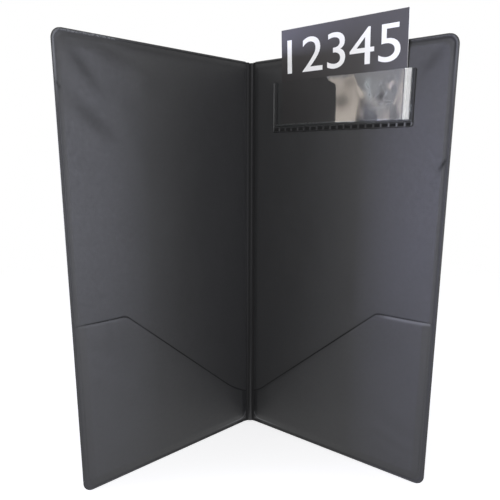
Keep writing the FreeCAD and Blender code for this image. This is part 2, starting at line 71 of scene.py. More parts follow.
COVER_TURN = math.radians(45)
COVER_WIDTH = 140
COVER_HEIGHT = 254
COVER_CORNER = 6
CREASE_SPACING = 5
SHEET = 0.35
OUTER_SHEET = 0.45
WEB_WIDTH = 1.2

RIM_WIDTH = 2.5
FIELD_CORNER = 6.5
FIELD_FRONT = 0.85
FIELD_BACK = 1.95

# How the padded field falls off towards the crease, as (start, slope).
CREASE_FALL = (1.4, 0.6)
LINING_FALL = {LEFT: (0.3, 2.5), RIGHT: CREASE_FALL}

BEAD_INSET = 0.9
BEAD_WIDTH = 1.15
BEAD_HEIGHT = 0.27

POCKET_LEFT = 2.9
POCKET_RIGHT = 136.8
POCKET_FOOT = 3.2
POCKET_TOP = 101.5
POCKET_CORNER = 6
POCKET_FRONT = 1.6
POCKET_PEAK_ROUND = 8
POCKET_LOW = 24.8
POCKET_LOW_ANGLE = math.radians(22)
POCKET_PEAK = {LEFT: 108.3, RIGHT: 105.3}
POCKET_SWEEP = {LEFT: 86, RIGHT: 35}
POCKET_SEAM = 2
POCKET_WRAP = 1.5

WINDOW_LEFT = 17.4
WINDOW_RIGHT = 117.7
WINDOW_FOOT = 209
WINDOW_TOP = 239.3
SIDE_WELD = 4
FOOT_WELD = 4.7
SEAM_FRONT = 1.75
FILM_THICKNESS = 0.2
TOOTH_ROW = 2.9
TOOTH_PITCH = 4.99
TOOTH_WIDTH = 4.05
TOOTH_HEIGHT = 2.1
TOOTH_FOOT = 0.4
TOOTH_START = 18.7
TOOTH_DEPTH = 0.6
TOOTH_WALL = 0.35

CARD_LEFT = 25.4
CARD_RIGHT = 112.4
CARD_FOOT = 214
CARD_TOP = 269
CARD_FRONT = 1.475
CARD_THICKNESS = 0.35

SPINE_HALF = 1.85
RIB_BASE = (-1.25, 2.35)
RIB_CREST = 1.15
RIB_EDGE = 0.1
BACK_HEIGHT = 0.74
BACK_EDGE = 0.12

FOLD_THICKNESS = 0.32
FOLD_OVERLAP = 0.5
# Where a fold starts, as (x, y, turn in degrees), and its painted shade, black up to an end, as (end,
# shade past it).
FOLD_START = {LEFT: (1, 0.15, 22), RIGHT: (1.9, 0, 12)}
FOLD_DARK = {LEFT: (1.5, 0.68), RIGHT: (3.6, 0.75)}

# Spacings of the grids, each (fine, coarse, margin): fine within the margin of both ends.
COVER_ROWS = (0.35, 1.6, 5.6)
COVER_COLUMNS = (0.0025, 0.0115, 0.035)
POCKET_ROWS = (0.004, 0.022, 0.06)
POCKET_COLUMNS = (0.35, 1.8, 6.3)
SPINE_ROWS = (0.5, 2.5, 9)
STRIP_ROWS = (0.4, 1.6, 3)
FOLD_ROWS = (0.5, 2.5, 6)
CARD_ROWS = (0.4, 1.8, 0.8)
CARD_COLUMNS = (0.4, 4, 0.8)


def smooth(t):
    """0 below 0, 1 above 1, with a soft S between."""
    t = np.clip(t, 0, 1)
    return t * t * (3 - 2 * t)


def rise(value, start, reach):
    """A soft step: 0 up to start, 1 from a reach further on."""
    return smooth((value - start) / reach)


def fall(value, start, reach):
    """A soft step: 1 up to start, 0 from a reach further on."""
    return smooth((start + reach - value) / reach)


def hump(value, middle, reach):
    """A bell of height 1 at its middle, down to about a third at its reach."""
    return np.exp(-(((value - middle) / reach) ** 2))


def between(low, high, share):
    """A value on the way from low to high."""
    return low + (high - low) * share


def soft_noise(x, z, wavelength, seed):
    """A smooth random field of about unit size, the same on every run."""
    rng = np.random.default_rng(seed)
    total = np.zeros(np.broadcast(x, z).shape)
    for _ in range(NOISE_WAVES):
        heading, phase = rng.uniform(0, 2 * math.pi, 2)
        length = wavelength * rng.uniform(0.7, 1.6)
        run = x * math.cos(heading) + z * math.sin(heading)
        total += np.sin(2 * math.pi * run / length + phase)
    return total / math.sqrt(NOISE_WAVES)


def beside_line(x, z, start, end):
    """How far places lie along a line from its start and across it to its left, and its length."""
    run_x, run_z = end[0] - start[0], end[1] - start[1]
    length = math.hypot(run_x, run_z)
    from_x, from_z = x - start[0], z - start[1]
    along = (from_x * run_x + from_z * run_z) / length
    across = (from_z * run_x - from_x * run_z) / length
    return along, across, length


def fold(x, z, start, end, widths, height):
    """A soft ridge of a sheet along the line from start to end, or a hollow where height is below 0.

    Widths are those of its flanks, to the right and to the left of the line."""
    along, across, length = beside_line(x, z, start, end)
    past = along - np.clip(along, 0, length)
    width = np.where(across < 0, widths[0], widths[1])
    return height * hump(across, 0, width) * hump(past, 0, max(widths))


def shade_band(x, z, start, end, width, amount):
    """A soft band from start to end, strongest at its middle and fading towards its ends."""
    along, across, length = beside_line(x, z, start, end)
    return amount * hump(across, 0, width) * hump(along, length / 2, BAND_REACH * length)


def blots(x, z, places):
    """The sum of soft oval blots, each given as (x, z, half width, half height, amount)."""
    return sum(
        amount * hump(x, middle_x, half_x) * hump(z, middle_z, half_z)
        for middle_x, middle_z, half_x, half_z, amount in places
    )


def loose_relief(side, x, z, waves, folds=()):
    """The unevenness of a loose sheet: waves, each (height, length, seed), and folds."""
    relief = sum(height * soft_noise(x, z, length, seed + side) for height, length, seed in waves)
    return relief + sum(fold(x, z, *place) for place in folds)


def inside_box(x, z, low, high, corner):
    """How far a place lies inside a rounded rectangle, negative outside it."""
    middle = np.add(low, high) / 2
    half = np.subtract(high, low) / 2 - corner
    over_x = np.abs(x - middle[0]) - half[0]
    over_z = np.abs(z - middle[1]) - half[1]
    outside = np.hypot(np.maximum(over_x, 0), np.maximum(over_z, 0))
    inside = np.minimum(np.maximum(over_x, over_z), 0)
    return corner - outside - inside


def stops(low, high, fine, coarse, margin):
    """Places from low to high, close together within a margin of both ends."""
    near = np.arange(0, margin, fine)
    count = max(2, round((high - low - 2 * margin) / coarse) + 1)
    middle = np.linspace(low + margin, high - margin, count)
    return np.concatenate([low + near, middle, (high - near)[::-1]])


def corner_inset(distance, radius):
    """How far a rounded corner draws an edge in, at a distance from the corner's other edge."""
    short = np.maximum(radius - distance, 0)
    return radius - np.sqrt(radius**2 - short**2)


def row_points(x, y, z):
    """Points of the row frame in metres, from places in millimetres."""
    return np.stack(np.broadcast_arrays(x, y, z), axis=-1) * MM


def on_cover(side, x, depth, z):
    """Places on a cover as points of the row frame."""
    cos, sin = math.cos(COVER_TURN), math.sin(COVER_TURN)
    across = CREASE_SPACING / 2 + x * cos - depth * sin
    return row_points(side * across, -x * sin - depth * cos, z)


def closed_faces(keep, flip):
    """Faces of a closed sheet over the kept cells of a grid, and the grid points that they use.

    The front's points come first and the back's after them, in the grid's order."""
    rows, columns = keep.shape
    count = (rows + 1) * (columns + 1)
    index = np.arange(count).reshape(rows + 1, columns + 1)
    corners = [index[:-1, :-1], index[:-1, 1:], index[1:, 1:], index[1:, :-1]]
    front = np.stack(corners, axis=-1)[keep]
    faces = [front, front[:, ::-1] + count]
    padded = np.pad(keep, 1)
    beside = padded[:-2, 1:-1], padded[1:-1, 2:], padded[2:, 1:-1], padded[1:-1, :-2]
    for start, end, neighbour in zip(corners, corners[1:] + corners[:1], beside):
        edge = keep & ~neighbour
        a, b = start[edge], end[edge]
        faces.append(np.stack([b, a, a + count, b + count], axis=-1))
    faces = np.concatenate(faces)
    if flip:
        faces = faces[:, ::-1]
    used, faces = np.unique(faces, return_inverse=True)
    return faces.reshape(-1, 4), used


class Sheet:
    """A closed piece between two grids of points, whose places x and z go to its material."""

    def __init__(self, name, front, back, x, z, flip=False, keep=True):
        self.shape = front.shape[:2]
        cells = np.broadcast_to(keep, (self.shape[0] - 1, self.shape[1] - 1))
        faces, self.used = closed_faces(cells, flip)
        corners = np.concatenate([front.reshape(-1, 3), back.reshape(-1, 3)])[self.used]
        places = np.stack([self.on_both(x), self.on_both(z)], axis=-1)
        self.obj = make_object(name, corners, faces.tolist(), places)

    def on_both(self, values):
        """Values of the grid, given to the points of the front and of the back."""
        values = np.broadcast_to(values, self.shape).ravel()
        return np.concatenate([values, values])[self.used]

    def mark(self, **marks):
        """Stores numbers for the points, which a material reads by name."""
        for name, values in marks.items():
            attribute = self.obj.data.attributes.new(name, "FLOAT", "POINT")
            attribute.data.foreach_set("value", self.on_both(values).astype(np.float32))

    def finish(self, material, slot, node, body=None):
        """Gives the piece its material, the solid it replaces and the body it rides on. The slot is
        not used.
        """
        self.obj.data.materials.append(material)
        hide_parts(node)
        if body is not None:
            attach(self.obj, body)
        return self.obj


def cover_sheet(name, side, x, z, front, back, turned=False, keep=True):
    """A sheet on a cover between two depths, turned where its rows run across the cover's edge."""
    flip = (side == LEFT) != turned
    return Sheet(name, on_cover(side, x, front, z), on_cover(side, x, back, z), x, z, flip, keep)


def spine_sheet(name, x, z, front, back):
    """A sheet on the spine between two depths."""
    return Sheet(name, row_points(x, -front, z), row_points(x, -back, z), x, z)


def add_object(name, data):
    """A new object of the scene."""
    obj = bpy.data.objects.new(name, data)
    bpy.context.scene.collection.objects.link(obj)
    return obj


def make_object(name, corners, faces, places):
    """A smooth-shaded mesh whose UV map holds each point's place on its sheet, in centimetres."""
    mesh = bpy.data.meshes.new(name)
    mesh.from_pydata(corners.tolist(), [], faces)
    layer = mesh.uv_layers.new(name=SHEET_UV)
    index = np.empty(len(mesh.loops), dtype=np.int32)
    mesh.loops.foreach_get("vertex_index", index)
    layer.data.foreach_set("uv", (places[index] / UV_LENGTH).ravel())
    mesh.shade_smooth()
    mesh.set_sharp_from_angle(angle=SHARP_ANGLE)
    return add_object(name, mesh)


# Materials


class Shading:
    """The nodes of a material or a world, and short ways to add to them."""

    def __init__(self, owner, output="OutputMaterial"):
        owner.use_nodes = True
        self.owner = owner
        self.tree = owner.node_tree
        self.tree.nodes.clear()
        self.output = self.node(output)

    def node(self, kind, inputs=None, **settings):
        """A node with its settings and inputs, each a number, a colour or another node's socket."""
        node = self.tree.nodes.new("ShaderNode" + kind)
        for name, value in settings.items():
            setattr(node, name, value)
        for name, value in (inputs or {}).items():
            if isinstance(value, bpy.types.NodeSocket):
                self.tree.links.new(value, node.inputs[name])
            else:
                node.inputs[name].default_value = value
        return node

    def add(self, kind, inputs=None, output=0, **settings):
        """A new node's output socket."""
        return self.node(kind, inputs, **settings).outputs[output]

    def math(self, operation, first, second=0):
        return self.add("Math", {0: first, 1: second}, operation=operation)

    def times(self, first, second):
        return self.math("MULTIPLY", first, second)

    def less(self, value):
        """What is left of 1."""
        return self.math("SUBTRACT", 1, value)

    def mix(self, share, first, second):
        """A blend of two colours."""
        return self.add("Mix", {0: share, 6: first, 7: second}, 2, data_type="RGBA")

    def span(self, value, low, high, start=0, end=1):
        """A number mapped from one range to another and kept inside it."""
        inputs = {"Value": value, "From Min": start, "From Max": end, "To Min": low, "To Max": high}
        return self.add("MapRange", inputs)

    def mark(self, name):
        return self.add("Attribute", output="Fac", attribute_name=name)

    def sheet_place(self):
        return self.add("UVMap", uv_map=SHEET_UV)

    def own_place(self):
        return self.add("TexCoord", output="Object")

    def seen(self):
        """1 for what the camera sees, in a reflection and through glass too."""
        rays = self.node("LightPath").outputs
        direct = self.math("MAXIMUM", rays["Is Camera Ray"], rays["Is Glossy Ray"])
        return self.math("MAXIMUM", direct, rays["Is Transmission Ray"])

    def noise(self, place, scale, detail=3, roughness=0.55):
        inputs = {"Vector": place, "Scale": scale, "Detail": detail, "Roughness": roughness}
        return self.add("TexNoise", inputs, "Fac")

    def bump(self, height, depth, strength=1, under=None):
        """Relief of a depth in millimetres where height runs from 0 to 1."""
        inputs = {"Height": height, "Distance": depth * MM, "Strength": strength}
        if under is not None:
            inputs["Normal"] = under
        return self.add("Bump", inputs)

    def mix_shaders(self, share, first, second):
        return self.add("MixShader", {0: share, 1: first, 2: second})

    def surface(self, shader):
        self.tree.links.new(shader, self.output.inputs["Surface"])
        return self.owner

    def principled(self, colour, roughness, normal):
        inputs = {"Base Color": colour, "Roughness": roughness, "Normal": normal}
        return self.surface(self.add("BsdfPrincipled", inputs))


def new_material(name):
    return Shading(bpy.data.materials.new(name))


WHITE = (1, 1, 1, 1)
FAINT = 0.01


def grey(level, tint):
    """A neutral colour, drawn towards blue by tint."""
    return (level, level * (1 + tint / 2), level * (1 + tint), 1)


def linen_height(m, place):
    """The fine woven print of the lining: two sets of uneven threads, crossing."""
    wobble = {"Vector": place, "Scale": 7.2, "Distortion": 1.1, "Detail": 2, "Detail Scale": 3}
    across, up = (m.add("TexWave", wobble, "Fac", bands_direction=axis) for axis in "XY")
    return m.times(m.math("MAXIMUM", across, up), m.span(m.noise(place, 14), 0.45, 1, 0.3, 0.7))


def leather_height(m, place):
    """The pebbled grain of the outside: small rounded cells in uneven rows."""
    cell = {"Vector": place, "Scale": 13, "Randomness": 1, "Smoothness": 0.35}
    domes = m.span(m.add("TexVoronoi", cell, "Distance", feature="SMOOTH_F1"), 1, 0, 0.05, 0.75)
    return m.times(domes, m.span(m.noise(place, 5), 0.6, 1, 0.3, 0.7))


def mouth_line(m):
    """The painted shade line at a pocket's mouth, placed by the marks of how far above the edge a
    place lies.
    """
    middle, reach = POCKET_LINE
    away = m.math("ABSOLUTE", m.math("SUBTRACT", m.mark("mouth"), LINE_OFFSET + middle))
    return m.times(m.span(away, 1, 0, reach * 0.5, reach), m.mark("mouth_dark"))


def vinyl(name, field, pressed, depth=FAINT, grain=linen_height):
    """Black vinyl with a printed grain that a die has pressed smooth where the mark press is 1.

    field and pressed are each (colour level, roughness); depth is that of the grain."""
    m = new_material(name)
    place = m.sheet_place()
    press, flash = m.mark("press"), m.mark("flash")
    level, rough = field
    speck = m.span(m.noise(place, 26, 2), 0, 1, 0.62, 0.78)
    crumbs = m.span(m.noise(place, 9, 5, 0.7), 0, 1, 0.4, 0.66)
    # Painted shade: the shade mark and the pocket's mouth line turn the colour near black and the
    # face rougher. Painted highlight: the light grey layer laid after the flash crumbs.
    shade = m.math("MAXIMUM", m.mark("shade"), mouth_line(m))
    colour = m.mix(m.noise(place, 0.35, 4), grey(level * 0.86, 0.05), grey(level * 1.14, 0.02))
    layers = (
        (m.times(speck, 0.35), grey(level * 2, 0.02)),
        (press, grey(pressed[0], 0.06)),
        (m.times(flash, crumbs), grey(0.24, 0.03)),
        (m.mark("painted_highlight"), grey(0.2, 0.06)),
        (shade, grey(level * 0.1, 0.05)),
    )
    for share, layer in layers:
        colour = m.mix(share, colour, layer)
    roughness = m.span(m.noise(place, 4, 4), rough - 0.05, rough + 0.07, 0.25, 0.75)
    roughness = m.span(press, roughness, pressed[1])
    roughness = m.math("MAXIMUM", roughness, m.times(flash, 0.6))
    roughness = m.math("ADD", roughness, m.times(m.less(roughness), shade))
    uneven = m.bump(m.noise(place, 1.6, 3), 0.1, 0.6)
    relief = m.times(grain(m, place), m.span(press, 1, 0.12))
    return m.principled(colour, roughness, m.bump(relief, depth, 1, uneven))


def board_material():
    """Grey stiffener board, hidden in the covers."""
    m = new_material("stiffener_board")
    fibre = m.noise(m.own_place(), 900, 6, 0.7)
    colour = m.mix(fibre, (0.3, 0.27, 0.23, 1), (0.5, 0.47, 0.42, 1))
    return m.principled(colour, m.span(fibre, 0.8, 0.95), m.bump(fibre, 0.05))


def card_print_material():
    """The card's printed faces: dark, warm, faintly mottled and satin."""
    m = new_material("printed_card")
    place = m.sheet_place()
    mottle = m.noise(place, 3, 5)
    colour = m.mix(mottle, (0.012, 0.01, 0.01, 1), (0.0155, 0.013, 0.013, 1))
    roughness = m.span(m.noise(place, 20), 0.42, 0.52)
    return m.principled(colour, roughness, m.bump(m.noise(place, 30), 0.01, 0.5))


def card_white_material(name):
    """White ink, and the card's white core where it is cut."""
    m = new_material(name)
    fibre = m.noise(m.sheet_place(), 24, 5)
    colour = m.mix(fibre, (0.82, 0.82, 0.8, 1), (0.88, 0.88, 0.86, 1))
    return m.principled(colour, m.span(fibre, 0.5, 0.62), m.bump(fibre, 0.01, 0.5))


FILM_IOR = 1.5
FILM_FACES = 1.9
FILM_CLEAR = (0.95, 0.955, 0.95, 1)
REFLECTION_PAINT_COLOUR = (0.46, 0.5, 0.49, 1)
FILM_SOFTNESS = 0.1


def film_material():
    """Clear glossy film: what lies behind it shows through, under the sheen of its two faces."""
    m = new_material("clear_film")
    place = m.sheet_place()
    outer_face = m.less(m.add("NewGeometry", output="Backfacing"))
    sheen = m.times(m.times(m.add("Fresnel", {"IOR": FILM_IOR}), FILM_FACES), outer_face)
    haze = m.span(m.noise(place, 0.8, 4), 0.03, 0.07)
    haze = m.math("ADD", haze, m.times(m.mark("soft"), FILM_SOFTNESS))
    ripple = m.bump(m.noise(place, 0.55, 2, 0.4), 0.1, 0.8)
    clear = m.add("BsdfTransparent", {"Color": FILM_CLEAR})
    gloss = m.add("BsdfGlossy", {"Color": WHITE, "Roughness": haze, "Normal": ripple})
    # The pale diffuse colour is a painted reflection; the shade mark takes the sheen away, a painted
    # shade in the reflection.
    painted_reflection = m.add("BsdfDiffuse", {"Color": REFLECTION_PAINT_COLOUR})
    glossy = m.mix_shaders(m.times(sheen, m.less(m.mark("shade"))), clear, gloss)
    return m.surface(m.mix_shaders(m.times(m.mark("painted_reflection"), outer_face), glossy, painted_reflection))


def floor_material():
    """A pale floor that fades to white away from the object and keeps its shadow near it."""
    m = new_material("pale_floor")
    seen = m.seen()
    away = m.add("VectorMath", {0: m.own_place()}, "Value", operation="LENGTH")
    far = m.span(away, 0, 1, FLOOR_NEAR, FLOOR_FAR)
    plain = m.add("BsdfDiffuse", {"Color": FLOOR_COLOUR})
    lift = m.add("Emission", {"Strength": m.times(seen, FLOOR_LIFT)})
    white = m.add("Emission", {"Strength": 1})
    lifted = m.add("AddShader", {0: plain, 1: lift})
    return m.surface(m.mix_shaders(m.times(far, seen), lifted, white))


# Covers


def cover_grid():
    """The places of a cover's sheets: rows up the cover, drawn in at its free corners."""
    z = stops(0, COVER_HEIGHT, *COVER_ROWS)[:, None]
    reach = COVER_WIDTH - corner_inset(np.minimum(z, COVER_HEIGHT - z), COVER_CORNER)
    x = between(WEB_WIDTH, reach, stops(0, 1, *COVER_COLUMNS)[None, :])
    return x, np.broadcast_to(z, x.shape)


def in_field(x, z, crease_fall=CREASE_FALL):
    """How far a place lies inside the padded field, which falls off towards the crease."""
    low = (-COVER_WIDTH, RIM_WIDTH)
    high = (COVER_WIDTH - RIM_WIDTH, COVER_HEIGHT - RIM_WIDTH)
    start, slope = crease_fall
    from_crease = slope * (x - start)
    return np.minimum(inside_box(x, z, low, high, FIELD_CORNER), from_crease)


def from_edge(x, z):
    """How far a place lies inside the cover's outline, whose crease side runs on past the spine."""
    return inside_box(x, z, (-COVER_WIDTH, 0), (COVER_WIDTH, COVER_HEIGHT), COVER_CORNER)


def rounded_edge(x, z):
    """How far the melted edge of a sheet falls away from its face."""
    return corner_inset(np.maximum(from_edge(x, z), 0), EDGE_ROUND)


# Folds, each (start, end, widths of its right and left flank, height).
LINING_FOLDS = {
    LEFT: (
        ((134.5, 245), (121, 229), (3.6, 9), 0.55),
        ((124, 250), (88, 237), (4.5, 12), 0.55),
        ((132, 220), (113, 204), (4, 9), 0.45),
        ((108, 226), (92, 196), (9, 14), 0.25),
    ),
    RIGHT: (
        ((132, 247), (123, 232), (5, 5), -0.16),
        ((124, 228), (131, 205), (6, 6), 0.14),
    ),
}
LINING_LEAST = FIELD_FRONT - 0.2
LINING_WAVES = ((0.05, 42, 7), (0.018, 15, 3))
OUTER_WAVES = ((0.045, 48, 31), (0.02, 17, 37))
BEHIND_POCKET = 0.25
EDGE_ROUND = 0.25
DIE_TRACK = 0.12
POCKET_LINE = (0.4, 0.8)
LINE_OFFSET = 50
LEVEL_SHIFT = 0.5


def lining_front(side, x, z):
    """Depth of the lining's face: flat rim, padded field and the soft folds of the vinyl."""
    inside = in_field(x, z, LINING_FALL[side])
    depth = between(SHEET, FIELD_FRONT, rise(inside, -1.2, 3.2))
    loose = rise(inside, 0.5, 6)
    relief = loose_relief(side, x, z, LINING_WAVES, LINING_FOLDS[side])
    relief = relief * between(BEHIND_POCKET, 1, rise(z, POCKET_TOP - 4, 14))
    depth = depth + loose * relief
    least = np.minimum(LINING_LEAST, depth + 1 - loose)
    depth = np.where(loose > 0, np.maximum(depth, least), depth)
    return depth - rounded_edge(x, z)


def outer_back(side, x, z):
    """Depth of the outside's face, a little hollow where the sealing die has run round it."""
    inside = in_field(x, z)
    depth = between(SHEET, FIELD_BACK, rise(inside, -0.3, 2.4))
    depth = depth - DIE_TRACK * hump(from_edge(x, z), BEAD_INSET, 0.4)
    relief = rise(inside, 1, 12) * loose_relief(side, x, z, OUTER_WAVES)
    return -(depth + relief - rounded_edge(x, z))


def die_press(x, z):
    """Where a cover's sheet is pressed smooth by the sealing die."""
    return fall(from_edge(x, z), 1.4, 0.8)


# Bands of painted shade beside the lining's folds and at two nicks, each (start, end, width, amount).
LINING_HOLLOWS = {
    LEFT: (
        ((131.5, 243.5), (119.5, 231), 3.2, 0.26),
        ((117, 248), (97, 242), 4.2, 0.24),
        ((131, 219), (112, 204), 3.6, 0.23),
        ((139.6, 228.6), (137, 225.4), 0.7, 0.8),
    ),
    RIGHT: (
        ((135, 186.6), (138.6, 192.6), 0.8, 0.8),
        ((132, 248), (121, 236), 3, 0.26),
    ),
}
# Where and how strongly the lining is painted with shade, along the valley inside the rim and
# elsewhere.
GROOVE_INSET = 2
GROOVE_WIDTH = 0.6
GROOVE_SHADE = {LEFT: 0.2, RIGHT: 0.35}
CORNER_SHADE = {LEFT: 0, RIGHT: 0.3}
TOP_SHADE = 0.35
SPINE_FOOT_SHADE = 0.8


def lining_shade(side, x, z):
    """How much painted shade darkens and roughens the lining, from 0 to 1: inside the rim, under the
    top edge, beside its folds and at the spine's foot.
    """
    corner = CORNER_SHADE[side] * rise(x, 100, 30) * rise(z, 235, 12)
    groove = (GROOVE_SHADE[side] + corner) * hump(from_edge(x, z), GROOVE_INSET, GROOVE_WIDTH)
    under_top = TOP_SHADE * hump(z, COVER_HEIGHT - 4, 2) * fall(x, 90, 25)
    hollows = [shade_band(x, z, *place) for place in LINING_HOLLOWS[side]]
    spine_foot = SPINE_FOOT_SHADE * fall(x, 6, 8) * fall(z, 2.4, 0.5)
    return np.maximum.reduce([groove, under_top, *hollows, spine_foot])


def above_mouth(side, x, z):
    """How far a place lies above a pocket's cut edge, measured square to the edge."""
    step = 0.5
    slope = (pocket_top(side, x + step) - pocket_top(side, x - step)) / (2 * step)
    return (z - pocket_top(side, x)) / np.hypot(1, slope)


def lining(side, name):
    """The sheet inside a cover, with the painted shade line where the pocket's mouth meets it."""
    x, z = cover_grid()
    front = lining_front(side, x, z)
    sheet = cover_sheet(f"{name}_lining_vinyl", side, x, z, front, front - SHEET)
    # Painted shade: the mouth marks place the dark line above the pocket's edge, fainter towards the
    # peak and on the level stretch.
    level = rise(x, POCKET_PEAK[side] - 5, 8)
    sheet.mark(
        press=die_press(x, z),
        mouth=above_mouth(side, x, z) + LEVEL_SHIFT * level + LINE_OFFSET,
        mouth_dark=1 - 0.35 * rise(x, 70, 25) - 0.33 * level,
        shade=lining_shade(side, x, z),
    )
    sheet.finish(LINING_VINYL, "lining_vinyl", f"{name}_lining", f"{name}_cover")


def outer_cover(side, name):
    """The sheet on the outside of a cover."""
    x, z = cover_grid()
    back = outer_back(side, x, z)
    front = np.minimum(back + OUTER_SHEET, 0)
    sheet = cover_sheet(f"{name}_outer_vinyl", side, x, z, front, back)
    sheet.mark(press=die_press(x, z))
    sheet.finish(COVER_VINYL, "cover_vinyl", f"{name}_outer_cover", f"{name}_cover")


def joined(*runs):
    """Runs of places and inward headings, each (x, z, in_x, in_z), put end to end."""
    return [np.concatenate(values) for values in zip(*(np.broadcast_arrays(*run) for run in runs))]


def foot_corner(right, foot, radius, count):
    """A round corner from a level foot up to a side: its places and inward headings."""
    turn = np.linspace(0, math.pi / 2, count)
    sin, cos = np.sin(turn), np.cos(turn)
    return right - radius * (1 - sin), foot + radius * (1 - cos), -sin, cos


def edge_path(inset, step):
    """Places and inward headings round a cover's three free sides, from the foot of the crease."""
    right = COVER_WIDTH - inset
    level = np.arange(WEB_WIDTH, COVER_WIDTH - COVER_CORNER, step)
    upright = np.arange(COVER_CORNER, COVER_HEIGHT - COVER_CORNER, step)
    foot = joined((level, inset, 0, 1), foot_corner(right, inset, COVER_CORNER - inset, 9))
    x, z, in_x, in_z = (values[::-1] for values in foot)
    return joined(foot, (right, upright, -1, 0), (x, COVER_HEIGHT - z, in_x, -in_z))


FLASH_START = 99
FLASH_END = 134
BEAD_HIGHLIGHT = {LEFT: 0.45, RIGHT: 0.22}
BEAD_SHADE = 0.25
BEAD_STEP = 0.8
BEAD_SINK = 0.06
FLASH = {LEFT: 1, RIGHT: 0.25}


def edge_bead(side, name):
    """The bead that the die leaves round the rim, rough where the vinyl has flashed."""
    x, z, in_x, in_z = (values[:, None] for values in edge_path(BEAD_INSET, BEAD_STEP))
    run = np.arange(len(x))[:, None] * BEAD_STEP
    swell = soft_noise(run, 0, 22, 51 + side)
    rough = soft_noise(run, 0, 5, 57 + side)
    flash = rise(x, FLASH_START, 8) * fall(x, FLASH_END, 3)
    flash = FLASH[side] * flash * (z > COVER_HEIGHT - RIM_WIDTH)
    width = BEAD_WIDTH * (1 + 0.08 * swell + 0.15 * flash * rough)
    height = BEAD_HEIGHT * (1 + 0.1 * swell + 0.15 * flash * np.abs(rough))
    turn = np.linspace(0, math.pi, 9)[None, :]
    shift = 0.5 * width * np.cos(turn) + 0.1 * flash * rough
    x, z = x - in_x * shift, z - in_z * shift
    base = SHEET - BEAD_SINK
    front = base + (height + BEAD_SINK) * np.sin(turn)
    sheet = cover_sheet(f"{name}_edge_bead", side, x, z, front, base - 0.04, turned=True)
    # Painted highlight high on the bead's free side; painted shade along the rest of it.
    painted_highlight = BEAD_HIGHLIGHT[side] * rise(z, 212, 30) * (x > COVER_WIDTH - 4)
    shade = np.maximum(lining_shade(side, x, z), BEAD_SHADE * (1 - painted_highlight))
    sheet.mark(flash=flash, press=1, painted_highlight=painted_highlight, shade=shade)
    sheet.finish(FUSED_VINYL, "fused_vinyl", f"{name}_edge_weld", f"{name}_cover")


# Pockets


def arc(x, middle, radius):
    """How far a circle reaches above its middle at x."""
    return np.sqrt(np.maximum(radius**2 - (x - middle) ** 2, 0))


def square_to(angle):
    """The heading square to a line that climbs at an angle."""
    return np.array([-math.sin(angle), math.cos(angle)])


def pocket_top(side, x):
    """Height of a pocket's cut edge: hollow sweep, straight cut, round peak, level."""
    sweep = POCKET_SWEEP[side]
    centre = np.array([POCKET_LEFT, POCKET_LOW]) + square_to(POCKET_LOW_ANGLE) * sweep
    peak = np.array([POCKET_PEAK[side], POCKET_TOP - POCKET_PEAK_ROUND])
    gap_x, gap_z = peak - centre
    reach = math.hypot(gap_x, gap_z)
    lean = math.atan2(gap_z, gap_x) + math.asin((POCKET_PEAK_ROUND + sweep) / reach)
    cut_start = centre - square_to(lean) * sweep
    cut_end = peak + square_to(lean) * POCKET_PEAK_ROUND
    cut = cut_start[1] + (x - cut_start[0]) * math.tan(lean)
    height = np.where(x < cut_start[0], centre[1] - arc(x, centre[0], sweep), cut)
    height = np.where(x > cut_end[0], peak[1] + arc(x, peak[0], POCKET_PEAK_ROUND), height)
    return np.where(x > peak[0], POCKET_TOP, height)


POCKET_FOLDS = {
    LEFT: (
        ((134, 73), (116, 66), (2.6, 5), 0.22),
        ((128, 80), (118, 74), (3, 5), 0.14),
        ((118, 61), (100, 55), (4, 7), 0.14),
        ((120, 25), (95, 20), (7, 7), 0.1),
        ((44, 7.6), (3, 2.8), (2.2, 3), 0.22),
    ),
    RIGHT: (
        ((128, 22), (106, 28), (3.5, 3), 0.2),
        ((124, 14), (108, 19), (3.5, 3), 0.14),
        ((131, 34), (118, 40), (5, 5), 0.1),
        ((14, 5), (5, 2.6), (2.2, 3), 0.16),
    ),
}
CURL_DROP = {LEFT: 0.1, RIGHT: 0.35}
CURL_REACH = {LEFT: 0.9, RIGHT: 1.2}
POCKET_WAVES = ((0.06, 36, 71), (0.02, 13, 77))
SEALED_FRONT = 0.95
MOUTH_BULGE = 0.6
MOUTH_REACH = 16
FOOT_HIGHLIGHT = 0.5
LIP_HIGHLIGHT = {LEFT: 0.03, RIGHT: 0.27}


def pocket_sealed(x, z):
    """How far a place lies inside the pocket's three sealed sides."""
    low, high = (POCKET_WRAP, POCKET_FOOT), (POCKET_RIGHT, COVER_HEIGHT)
    return inside_box(x, z, low, high, POCKET_CORNER)


def pocket_front(side, x, z):
    """Depth of a pocket's face: sealed at three sides, loose and a little curled at its mouth."""
    sealed = pocket_sealed(x, z)
    depth = between(SEALED_FRONT, POCKET_FRONT, rise(sealed, -0.1, 2.2))
    below = pocket_top(side, x) - z
    level = between(0.25, 1, rise(x, POCKET_PEAK[side] - 2, 5))
    curl = CURL_DROP[side] * level * hump(below, 0, CURL_REACH[side])
    mouth = MOUTH_BULGE * hump(below, 0, MOUTH_REACH) * smooth(sealed / 18)
    relief = loose_relief(side, x, z, POCKET_WAVES, POCKET_FOLDS[side])
    depth = depth + mouth + rise(sealed, 0.5, 8) * relief - curl
    flush = lining_front(side, x, z) + 0.04
    return between(flush, depth, smooth(sealed / 5))


